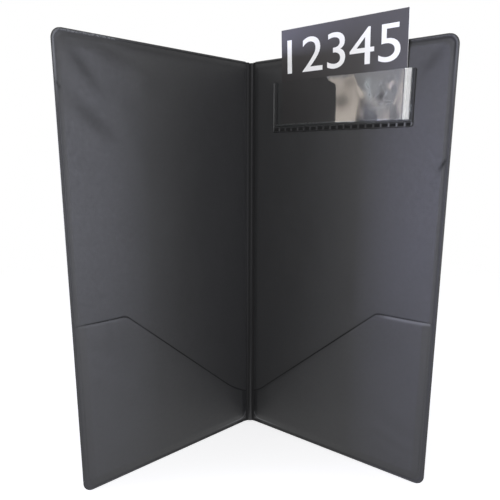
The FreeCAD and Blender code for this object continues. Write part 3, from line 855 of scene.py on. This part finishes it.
def pocket(side, name):
    """The slanted pocket on a cover, open along its cut edge."""
    across = stops(POCKET_WRAP, POCKET_RIGHT, *POCKET_COLUMNS)[None, :]
    corner = np.minimum(across - POCKET_WRAP, POCKET_RIGHT - across)
    foot = POCKET_FOOT + corner_inset(corner, POCKET_CORNER)
    z = between(foot, pocket_top(side, across), stops(0, 1, *POCKET_ROWS)[:, None])
    x = np.broadcast_to(across, z.shape)
    front = pocket_front(side, x, z)
    sheet = cover_sheet(f"{name}_pocket_vinyl", side, x, z, front, front - SHEET)
    sealed = pocket_sealed(x, z)
    # Painted highlights: a light line just under the level stretch of the cut edge, and one along the
    # sealed foot near the spine.
    lip = LIP_HIGHLIGHT[side] * hump(pocket_top(side, x) - z, 0.6, 0.8)
    lip = lip * rise(x, POCKET_PEAK[side] + 1, 4)
    hem = FOOT_HIGHLIGHT * hump(sealed, 0, 0.7) * fall(x, 10, 24) * (z < 8)
    sheet.mark(press=fall(sealed, 0.2, 1.2), painted_highlight=np.maximum(lip, hem))
    sheet.finish(POCKET_VINYL, "pocket_vinyl", f"{name}_pocket", f"{name}_cover")


def pocket_path(step):
    """Places and inward headings round a pocket's three sealed sides, down its spine side first."""
    down = np.arange(POCKET_LOW, POCKET_FOOT + POCKET_CORNER, -step)
    level = np.arange(POCKET_LEFT + POCKET_CORNER, POCKET_RIGHT - POCKET_CORNER, step)
    up = np.arange(POCKET_FOOT + POCKET_CORNER, POCKET_TOP, step)
    corner = foot_corner(POCKET_RIGHT, POCKET_FOOT, POCKET_CORNER, 8)
    x, z, in_x, in_z = (values[::-1] for values in corner)
    mirrored = (POCKET_LEFT + POCKET_RIGHT - x, z, -in_x, in_z)
    spine_side, foot = (POCKET_LEFT, down, 1, 0), (level, POCKET_FOOT, 0, 1)
    return joined(spine_side, mirrored, foot, corner, (POCKET_RIGHT, up, -1, 0))


def pocket_seam(side, name):
    """The weld under a pocket's three sealed sides, up to the underside of the pocket."""
    x, z, in_x, in_z = (values[:, None] for values in pocket_path(1.5))
    inward = np.linspace(0.05, POCKET_SEAM, 6)[None, :]
    x, z = x + in_x * inward, z + in_z * inward
    front = pocket_front(side, x, z) - SHEET - 0.01
    back = np.minimum(lining_front(side, x, z), front - 0.02)
    sheet = cover_sheet(f"{name}_pocket_weld", side, x, z, front, back, turned=True)
    sheet.mark(press=1)
    sheet.finish(FUSED_VINYL, "fused_vinyl", f"{name}_pocket_seam", f"{name}_cover")


# Spine


def flare(z):
    """How far the spine's rib spreads where its foot is not pressed between the covers."""
    return hump(z, 0, 8)


def rib_crest(z):
    """Place of the rib's crest across the spine."""
    return 0.75 + 0.35 * z / COVER_HEIGHT + 0.08 * soft_noise(z, 0, 60, 91)


def rib_profile(x, z):
    """Depth of the rib's face: a sharp crest off the middle, duller and lower at its foot."""
    crest = rib_crest(z)
    roundness = 0.35 + 0.9 * flare(z)
    run = np.where(x < crest, crest - RIB_BASE[0], RIB_BASE[1] - crest)
    drop = np.hypot(x - crest, roundness) - roundness
    drop = np.minimum(drop / (np.hypot(run, roundness) - roundness), 1)
    lift = RIB_CREST * (1 + 0.04 * soft_noise(z, 0, 35, 95)) * (0.45 + 0.55 * smooth(z / 5))
    return between(RIB_EDGE, lift, 1 - drop)


RIB_HEIGHTS = (0, 30, 70, 130, 210, 245)
RIB_CREST_SHADE = (0.55, 0.66, 0.86, 0.76, 0.72, 0.52)
SPINE_TOP = COVER_HEIGHT - 0.8
SPINE_BASE = 0.01
STRIP_LIFT = 0.14
STRIP_SHEET = 0.3


def rib_shade(x, z):
    """Painted shade on the rib: dark flanks down in the folds, less on the crest, and less of it all
    at the foot.
    """
    crest_shade = np.interp(z, RIB_HEIGHTS, RIB_CREST_SHADE)
    flank = rise(np.abs(x - rib_crest(z)), 0.4, 0.45)
    return between(crest_shade, 1, flank) * (1 - 0.7 * flare(z))


def spine_rib():
    """The lining where it crosses the spine: a sharp rib with a long and a short flank."""
    x, z = np.meshgrid(np.linspace(*RIB_BASE, 31), stops(0, SPINE_TOP, *SPINE_ROWS))
    sheet = spine_sheet("spine_rib_vinyl", x, z, rib_profile(x, z), SPINE_BASE)
    sheet.mark(shade=rib_shade(x, z))
    sheet.finish(CREASE_VINYL, "lining_vinyl", "spine_lining_rib", "spine")


def spine_back():
    """The outer cover sheet where it crosses the spine: a low rounded back."""
    share, z = np.meshgrid(np.linspace(-1, 1, 17), stops(0, SPINE_TOP, *SPINE_ROWS))
    from_side = 1 - np.abs(share)
    bulge = smooth(from_side / 0.5) * (1 - 0.12 * share**2)
    lift = BACK_HEIGHT * (1 + 0.05 * soft_noise(z, 0, 35, 97))
    face = between(BACK_EDGE, lift, bulge)
    sheet = spine_sheet("spine_back_vinyl", share * SPINE_HALF, z, -SPINE_BASE, -face)
    sheet.mark(press=fall(from_side, 0, 0.3))
    sheet.finish(COVER_VINYL, "cover_vinyl", "spine_outer_strip", "spine")


def spine_pocket_strip():
    """The pocket sheet where it crosses the foot of the spine, over the rib."""
    across = np.linspace(RIB_BASE[0] + 0.5, RIB_BASE[1] - 0.5, 19)
    x, z = np.meshgrid(across, stops(0, POCKET_LOW, *STRIP_ROWS))
    face = rib_profile(x, z) + STRIP_LIFT
    sheet = spine_sheet("spine_pocket_fold", x, z, face, face - STRIP_SHEET)
    sheet.mark(shade=rib_shade(x, z))
    sheet.finish(CREASE_VINYL, "pocket_vinyl", "spine_pocket_strip", "spine")


def fold_line(start, end, start_turn, end_turn):
    """Places of a smooth line that leaves and arrives at given turns, and how far along they lie."""
    reach = math.dist(start, end)
    t = np.linspace(0, 1, 19)
    ease = (2 * t**3 - 3 * t**2 + 1, t**3 - 2 * t**2 + t, 3 * t**2 - 2 * t**3, t**3 - t**2)
    leave, arrive = (
        (reach * math.cos(turn), -reach * math.sin(turn)) for turn in (start_turn, end_turn)
    )
    x, y = np.transpose([start, leave, end, arrive]) @ ease
    return x, y, t * reach


def crease_fold(side, name):
    """The fused web that a cover folds on, from under the rib to the ends of the cover's sheets."""
    start_x, start_y, start_turn = FOLD_START[side]
    end = on_cover(RIGHT, WEB_WIDTH + FOLD_OVERLAP, 0, 0)[:2] / MM
    line_x, line_y, along = fold_line((start_x, start_y), end, math.radians(start_turn), COVER_TURN)
    turn = np.arctan2(-np.gradient(line_y), np.gradient(line_x))
    z = stops(0, COVER_HEIGHT - 0.4, *FOLD_ROWS)[:, None]
    waver = 0.03 * soft_noise(z, 0, 30, 101 + side)

    def face(sign):
        x = line_x - sign * FOLD_THICKNESS * np.sin(turn)
        y = line_y - sign * FOLD_THICKNESS * np.cos(turn)
        return row_points(side * x, y + waver, z)

    sheet = Sheet(f"{name}_crease_fold", face(1), face(-1), along, z, flip=side == LEFT)
    # Painted shade: the fold is painted black from the rib to its dark end, and darker towards the
    # cover's foot.
    dark_end, least = FOLD_DARK[side]
    least = between(least, 0.95, fall(z, 0, 150))
    sheet.mark(press=1, shade=between(least, 1, fall(line_x, dark_end - 0.5, 0.5)))
    obj = sheet.finish(CREASE_VINYL, "fused_vinyl", f"{name}_crease_weld")
    cover_end = on_cover(side, WEB_WIDTH, 0, 0)
    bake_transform(obj)


# Card window


WELD_BEADS = ((0.16, 0.75, 0.42), (-0.45, 1.65, 0.38), (0.12, 2.45, 0.38))
ROW_RISE = 0.22
WINDOW_CORNER = 2
TOOTH_LOW = WINDOW_FOOT + TOOTH_FOOT
TOOTH_HIGH = TOOTH_LOW + TOOTH_HEIGHT


def tooth_print(x, z):
    """1 inside a print of the toothed row and 0 outside, with soft walls."""
    phase = (x - TOOTH_START) % TOOTH_PITCH
    inside_x = np.minimum(phase, TOOTH_WIDTH - phase)
    inside_z = np.minimum(z - TOOTH_LOW, TOOTH_HIGH - z)
    in_row = (x > TOOTH_START - 0.1) & (x < WINDOW_RIGHT - 1)
    return smooth(np.minimum(inside_x, inside_z) / TOOTH_WALL) * in_row


def weld_top(x, z):
    """Depth of the window weld's face: a ridge round the outside, a groove and a lower inner bead.

    The beads of the side welds are each (height, place, width), and fainter on the right."""
    side = np.minimum(x - WINDOW_LEFT, WINDOW_RIGHT - x)
    foot = z - WINDOW_FOOT
    beads = sum(height * hump(side, place, width) for height, place, width in WELD_BEADS)
    quiet = np.where(x > (WINDOW_LEFT + WINDOW_RIGHT) / 2, 0.3, 1)
    along = 1 + 0.18 * soft_noise(z, 0, 4.5, 111)
    beads = quiet * beads * along * rise(foot, 0.4, 1.4)
    lip = 0.14 * hump(foot, 0.28, 0.22)
    step = 0.12 * hump(foot, FOOT_WELD - 0.5, 0.45)
    row = fall(foot, TOOTH_ROW - 0.3, 0.4) * (ROW_RISE - TOOTH_DEPTH * tooth_print(x, z))
    edge = 0.5 * np.clip(1 - np.minimum(side, foot) / 0.3, 0, 1) ** 2
    return SEAM_FRONT - 0.25 + beads + lip + step + row - edge


def window_grid():
    """Places of the window's weld, and its cells, without those open for the film."""
    open_left, open_right = WINDOW_LEFT + SIDE_WELD, WINDOW_RIGHT - SIDE_WELD
    weld = np.arange(0, SIDE_WELD + 0.1, 0.25)
    middle = np.arange(open_left + 0.3, open_right - 0.2, 0.3)
    x = np.concatenate([WINDOW_LEFT + weld, middle, (WINDOW_RIGHT - weld)[::-1]])
    foot = np.arange(0, FOOT_WELD + 0.1, 0.235)
    upright = np.linspace(WINDOW_FOOT + FOOT_WELD + 0.6, WINDOW_TOP, 34)
    z = np.concatenate([WINDOW_FOOT + foot, upright])
    x, z = np.meshgrid(x, z)
    drawn_in = corner_inset(np.minimum(x - WINDOW_LEFT, WINDOW_RIGHT - x), WINDOW_CORNER)
    z = z + drawn_in * fall(z, WINDOW_FOOT, 4)
    z = z - 0.6 * drawn_in * rise(z, WINDOW_TOP - 3, 3)
    cell_x = (x[:-1, :-1] + x[1:, 1:]) / 2
    cell_z = (z[:-1, :-1] + z[1:, 1:]) / 2
    inside = (cell_x > open_left) & (cell_x < open_right)
    return x, z, ~(inside & (cell_z > WINDOW_FOOT + FOOT_WELD))


def window_weld():
    """The three-sided weld that holds the film, with the toothed row along its foot."""
    x, z, keep = window_grid()
    back = FIELD_FRONT - 0.15
    sheet = cover_sheet("card_window_weld", RIGHT, x, z, weld_top(x, z), back, keep=keep)
    # Painted shade in the tooth prints, across the toothed row and the weld below it, and on the
    # right weld; painted highlights between the prints towards the right end.
    prints = tooth_print(x, z)
    row = 0.35 * fall(z, WINDOW_FOOT + TOOTH_ROW - 0.1, 0.4)
    right_side = 0.45 * rise(x, FILM_END, 0.5)
    painted_highlight = 0.55 * (1 - prints) * rise(x, 92, 12) * (z > TOOTH_LOW) * (z < TOOTH_HIGH)
    sheet.mark(press=1, shade=np.maximum.reduce([prints, row, right_side]), painted_highlight=painted_highlight)
    sheet.finish(FILM_WELD, "fused_vinyl", "card_window_seam", "right_cover")


FILM_START = WINDOW_LEFT + SIDE_WELD
FILM_FLAT = 86
FILM_CLIFF = 111.6
FILM_END = 115.4
FILM_FOOT = WINDOW_FOOT + TOOTH_ROW + 0.1
FILM_LEAN = 0.05
FILM_LEAN_MIDDLE = 225.5
FILM_CLIFF_SLOPE = 0.3
FILM_LEFT_SLOPE = 0.045
FILM_BEND = 0.00224
FILM_REST = 1.7
FILM_SPUR = 0.3
SPUR_FOOT = 234
PATCH_SLANT = 0.33
PATCH_MIDDLE = 225
SOFT_START = 83

# Blots on the film, each as (x, z, half width, half height, amount): where it hangs level, where it
# clings to the card with a rim of painted reflection, where its reflection is taken off as painted
# shade, and where a painted reflection lies on it in pale patches.
FILM_LEVEL = (
    (103.9, 231.6, 2.6, 5, 1.7),
    (108.6, 221.2, 2.4, 5.2, 1.7),
)
FILM_CLING = (
    (98, 226, 2.7, 3.4, 1),
    (94, 224.2, 2.4, 1.5, 0.55),
    (102.4, 222.6, 2.6, 1.3, 0.75),
    (97.6, 231.4, 1.5, 3.2, 0.5),
)
FILM_SHADE_BLOTS = (
    (72, 225, 6.2, 4.9, 0.7),
    (77.5, 234.8, 5.4, 4.6, 0.48),
    (67, 235, 3, 5, 0.16),
    (98, 226, 1.9, 2.6, 0.8),
    (88, 215.4, 3.6, 2.6, 0.6),
    (84.8, 213.4, 3.6, 1, 0.8),
)
FILM_GLARE = (
    (88.8, 232.5, 2.2, 4, 0.42),
    (90.6, 226.5, 1.8, 3.2, 0.36),
    (98.5, 219.6, 5.5, 0.9, 0.16),
    (92.8, 217.5, 3.8, 6.5, 0.12),
    (94, 231.5, 2.6, 4, 0.16),
    (115.6, 219, 0.5, 0.7, 0.8),
)
FILM_RING = ((103.9, 231.6), (3.4, 6.2))
HEM_LINE = 213.45


def soft_least(first, second, blend):
    """The lesser of two heights, with a rounded crest where they cross."""
    return -blend * np.log(np.exp(-first / blend) + np.exp(-second / blend))


def film_front(x, z):
    """Depth of the film's face: it climbs from the left, then sags, ripples and drops."""
    spur = 1 + FILM_SPUR * rise(z, SPUR_FOOT, 3)
    climb = FILM_LEFT_SLOPE * spur * np.maximum(x - FILM_START, 0)
    plateau = FILM_CLIFF_SLOPE * (FILM_END - FILM_CLIFF)
    sag = plateau + FILM_BEND * np.maximum(FILM_FLAT - x, 0) ** 2
    cliff = FILM_CLIFF_SLOPE * np.maximum(FILM_END - x, 0)
    shape = np.minimum(soft_least(climb, sag, 0.12), cliff)
    lean = z - FILM_LEAN_MIDDLE
    for blot in FILM_LEVEL:
        lean = lean - blots(x, z, [blot]) * (z - blot[1])
    ripple = 0.05 * soft_noise(x, z * 1.1, 12, 121) - FILM_LEAN * lean
    patch_edge = FILM_FLAT + PATCH_SLANT * (PATCH_MIDDLE - z)
    ripple = ripple * rise(x, patch_edge - 2, 11) * fall(x, FILM_CLIFF - 9, 9)
    faint = 0.025 * soft_noise(x, z * 0.7, 24, 127)
    held = rise(x, FILM_START, 2) * fall(x, FILM_END - 0.5, 0.5) * rise(z, FILM_FOOT, 1)
    return FILM_REST + held * (shape + ripple + faint)


def painted_film_reflections(x, z):
    """How much painted reflection lies on the film: round what clings to the card, along its hem, in
    pale patches and as specks at its weld.
    """
    bent_x = x + 0.5 * soft_noise(x, z, 6, 133)
    bent_z = z + 0.5 * soft_noise(x, z, 6, 137)
    uneven = np.clip(0.6 + 0.5 * soft_noise(x, z, 4, 139), 0, 1)
    cling = blots(bent_x, bent_z, FILM_CLING)
    halo = 0.27 * uneven * (rise(cling, 0.02, 0.35) - rise(cling, 0.45, 0.16))
    (ring_x, ring_z), (reach_x, reach_z) = FILM_RING
    from_ring = np.hypot((bent_x - ring_x) / reach_x, (bent_z - ring_z) / reach_z)
    ring = 0.13 * uneven * hump(from_ring, 1, 0.34)
    hem = 0.07 * hump(z, HEM_LINE, 0.33) * (x < FILM_END) * (x > WINDOW_LEFT + 3)
    glints = 0.26 * rise(soft_noise(x, z, 1.7, 131), 0.55, 0.6) * (x > FILM_END)
    painted_reflection = np.maximum.reduce([halo, ring, hem, glints, blots(bent_x, bent_z, FILM_GLARE)])
    return np.clip(painted_reflection, 0, 0.8)


def film():
    """The clear film of the window, from the toothed row to its open top edge."""
    x = np.linspace(WINDOW_LEFT + 0.9, WINDOW_RIGHT - 0.9, 330)
    z = np.linspace(WINDOW_FOOT + TOOTH_ROW, WINDOW_TOP, 90)
    x, z = np.meshgrid(x, z)
    free = (x > FILM_START) & (x < FILM_END) & (z > FILM_FOOT)
    fused = np.maximum(weld_top(x, z) + 0.05, SEAM_FRONT - 0.2)
    front = np.where(free, film_front(x, z), fused)
    sheet = cover_sheet("card_window_clear_film", RIGHT, x, z, front, front - FILM_THICKNESS)
    fused_foot = 0.9 * fall(z, FILM_FOOT + 0.8, 0.4)
    fused_side = np.where((x < FILM_START) | (x > FILM_END), 1, 0)
    # Painted shade takes the film's reflection off in blots, at its foot and over its fused sides; a
    # painted reflection lies in rings, patches, a hem line and specks.
    sheet.mark(
        shade=np.maximum.reduce([blots(x, z, FILM_SHADE_BLOTS), fused_foot, fused_side]),
        soft=rise(x, SOFT_START, 6),
        painted_reflection=painted_film_reflections(x, z),
    )
    sheet.finish(CLEAR_FILM, "clear_film", "card_window_film", "right_cover")


CARD_SLOPE = 0.045
BEND_START = 229
BEND = 12


def card_lean(z):
    """How far the card leans forward: bent behind the film and flat above it."""
    share = np.clip((z - BEND_START) / BEND, 0, 1)
    past = np.maximum(z - BEND_START - BEND, 0)
    return CARD_SLOPE * (BEND * (share**3 - share**4 / 2) + past)


def card():
    """The card: dark printed faces and a white cut edge."""
    across = stops(CARD_LEFT, CARD_RIGHT, *CARD_COLUMNS)
    x, z = np.meshgrid(across, stops(CARD_FOOT, CARD_TOP, *CARD_ROWS))
    front = CARD_FRONT + card_lean(z)
    sheet = cover_sheet("guest_card_stock", RIGHT, x, z, front, front - CARD_THICKNESS)
    obj = sheet.finish(CARD_PRINT, "printed_card", "guest_card", "card")
    obj.data.materials.append(CARD_CORE)
    printed = 2 * (x.shape[0] - 1) * (x.shape[1] - 1)
    for polygon in obj.data.polygons[printed:]:
        polygon.material_index = 1


CARD_NUMBER = "12345"
NUMBER_LEFT = 30
NUMBER_RIGHT = 108
NUMBER_FOOT = 243.5
NUMBER_HEIGHT = 19.5
INK = 0.03


def card_number():
    """A plain number in raised white ink on the card."""
    curve = bpy.data.curves.new("card_number_text", "FONT")
    curve.body = CARD_NUMBER
    curve.extrude = 0.5
    curve.resolution_u = 6
    text = add_object("card_number_text", curve)
    bpy.context.view_layer.update()
    shaped = text.evaluated_get(bpy.context.evaluated_depsgraph_get())
    mesh = bpy.data.meshes.new_from_object(shaped)
    outline = np.array([vertex.co for vertex in mesh.vertices])
    faces = [list(polygon.vertices) for polygon in mesh.polygons]
    bpy.data.objects.remove(text)
    low, high = outline.min(axis=0), outline.max(axis=0)
    share = (outline - low) / (high - low)
    x = between(NUMBER_LEFT, NUMBER_RIGHT, share[:, 0])
    z = NUMBER_FOOT + share[:, 1] * NUMBER_HEIGHT
    depth = CARD_FRONT + card_lean(z) - INK / 2 + share[:, 2] * INK * 1.5
    places = np.stack([x, z], axis=-1)
    obj = make_object("card_number", on_cover(RIGHT, x, depth, z), faces, places)
    obj.data.materials.append(WHITE_INK)
    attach(obj, "card")


# Stage, light and camera

FLOOR_NEAR = 0.22
FLOOR_FAR = 0.75
FLOOR_LIFT = 0.64
FLOOR_COLOUR = (0.8, 0.8, 0.8, 1)
FLOOR_HALF = 6


def floor():
    """A wide pale floor under the folder."""
    half = FLOOR_HALF
    corners = [(-half, -half, 0), (half, -half, 0), (half, half, 0), (-half, half, 0)]
    mesh = bpy.data.meshes.new("floor")
    mesh.from_pydata(corners, [], [(0, 1, 2, 3)])
    mesh.materials.append(floor_material())
    add_object("floor", mesh)


WORLD_LEVEL = 0.35


def world():
    """Even pale surroundings, white to the camera and in reflections."""
    room = bpy.data.worlds.new("pale_room")
    bpy.context.scene.world = room
    m = Shading(room, "OutputWorld")
    level = m.span(m.seen(), WORLD_LEVEL, 1)
    m.surface(m.add("Background", {"Color": WHITE, "Strength": level}))


LAMP_AIM = (0, -0.06, 0.13)


def soft_light(name, place, size, radiance, colour):
    """A rectangular lamp at a place in metres, turned to the folder, of an even radiance."""
    data = bpy.data.lights.new(name, "AREA")
    data.shape = "RECTANGLE"
    data.size, data.size_y = size
    data.energy = math.pi * size[0] * size[1] * radiance
    data.color = colour
    heading = Vector(LAMP_AIM) - Vector(place)
    turn = heading.to_track_quat("-Z", "Y").to_matrix().to_4x4()
    add_object(name, data).matrix_world = Matrix.Translation(place) @ turn


LAMP_DISTANCE = 1.15
LAMP_SIZE = (0.28, 0.27)
LAMP_LOW = 0.14
LAMP_HIGH = 0.65
PLAIN = (1, 1, 1)
PALE = (0.9, 0.9, 1)
BLUISH = (0.76, 0.79, 1)
BLUE = (0.64, 0.66, 1)
AMBER = (1, 0.86, 0.73)


def side_lamp(name, side, azimuth, radiance, colour, height=LAMP_LOW, size=LAMP_SIZE):
    """A lamp beside the folder, its azimuth counted from straight sideways towards the reader."""
    angle = math.radians(azimuth)
    place = (side * LAMP_DISTANCE * math.cos(angle), -0.05 - LAMP_DISTANCE * math.sin(angle), height)
    soft_light(name, place, size, radiance, colour)


def lights():
    side_lamp("right_grazing", RIGHT, 8, 22.9, BLUISH)
    side_lamp("right_low", RIGHT, 14, 7.2, BLUISH)
    side_lamp("right_side", RIGHT, 21, 5.3, PLAIN)
    side_lamp("right_front", RIGHT, 50, 15.6, PALE)
    side_lamp("right_high", RIGHT, 45, 6.4, PALE, LAMP_HIGH)
    side_lamp("left_grazing", LEFT, 8, 47.5, BLUE)
    side_lamp("left_side", LEFT, 21, 5.6, PALE)
    side_lamp("left_front", LEFT, 50, 3.4, PALE)
    side_lamp("left_forward", LEFT, 70, 9, PALE)
    side_lamp("window_patch", LEFT, 17, 3.6, AMBER, 0.325, (0.18, 0.15))
    side_lamp("window_glow", LEFT, 18, 0.75, PALE, 0.61, (0.56, 0.43))
    soft_light("window_strip", (-0.76, -1.07, 0.5), (0.2, 0.9), 7.5, PLAIN)


LENS = 42.356
SENSOR_WIDTH = 36
NEAREST = 0.01
CAMERA_PLACE = (-16.386, -414.17, 188.921)
CAMERA_YAW = 2.7518
CAMERA_PITCH = -14.1328
CAMERA_ROLL = 0.2733
CAMERA_SHIFT = (-0.009377, 0.124751)


def camera():
    """The photograph's camera, with its place, its turns and its crop."""
    data = bpy.data.cameras.new("camera")
    data.sensor_width = SENSOR_WIDTH
    data.lens = LENS
    data.shift_x, data.shift_y = CAMERA_SHIFT
    data.clip_start = NEAREST
    placed = Matrix.Translation(Vector(CAMERA_PLACE) * MM)
    for angle, axis in ((-CAMERA_YAW, "Z"), (90 + CAMERA_PITCH, "X"), (CAMERA_ROLL, "Z")):
        placed = placed @ Matrix.Rotation(math.radians(angle), 4, axis)
    obj = add_object("camera", data)
    obj.matrix_world = placed
    bpy.context.scene.camera = obj


bpy.context.scene.view_settings.view_transform = "Standard"
camera()
world()
lights()
floor()

LINING_VINYL = vinyl("lining_vinyl", (0.013, 0.5), (0.01, 0.42), 0.035)
POCKET_VINYL = vinyl("pocket_vinyl", (0.014, 0.5), (0.01, 0.38), 0.035)
COVER_VINYL = vinyl("cover_vinyl", (0.014, 0.47), (0.01, 0.38), 0.1, leather_height)
FUSED_VINYL = vinyl("fused_vinyl", (0.01, 0.46), (0.01, 0.46))
CREASE_VINYL = vinyl("crease_vinyl", (0.011, 0.36), (0.011, 0.5))
FILM_WELD = vinyl("film_weld", (0.008, 0.5), (0.008, 0.48))
CLEAR_FILM = film_material()
CARD_PRINT = card_print_material()
CARD_CORE = card_white_material("card_core")
WHITE_INK = card_white_material("white_ink")
BOARD = board_material()

for side_and_name in ((LEFT, "left"), (RIGHT, "right")):
    for make_piece in (outer_cover, lining, edge_bead, pocket, pocket_seam, crease_fold):
        make_piece(*side_and_name)

spine_rib()
spine_back()
spine_pocket_strip()
window_weld()
film()
card()
card_number()

for board_name in ("left_board", "right_board"):
    for board_slot in frame["nodes"][board_name].material_slots:
        board_slot.material = BOARD
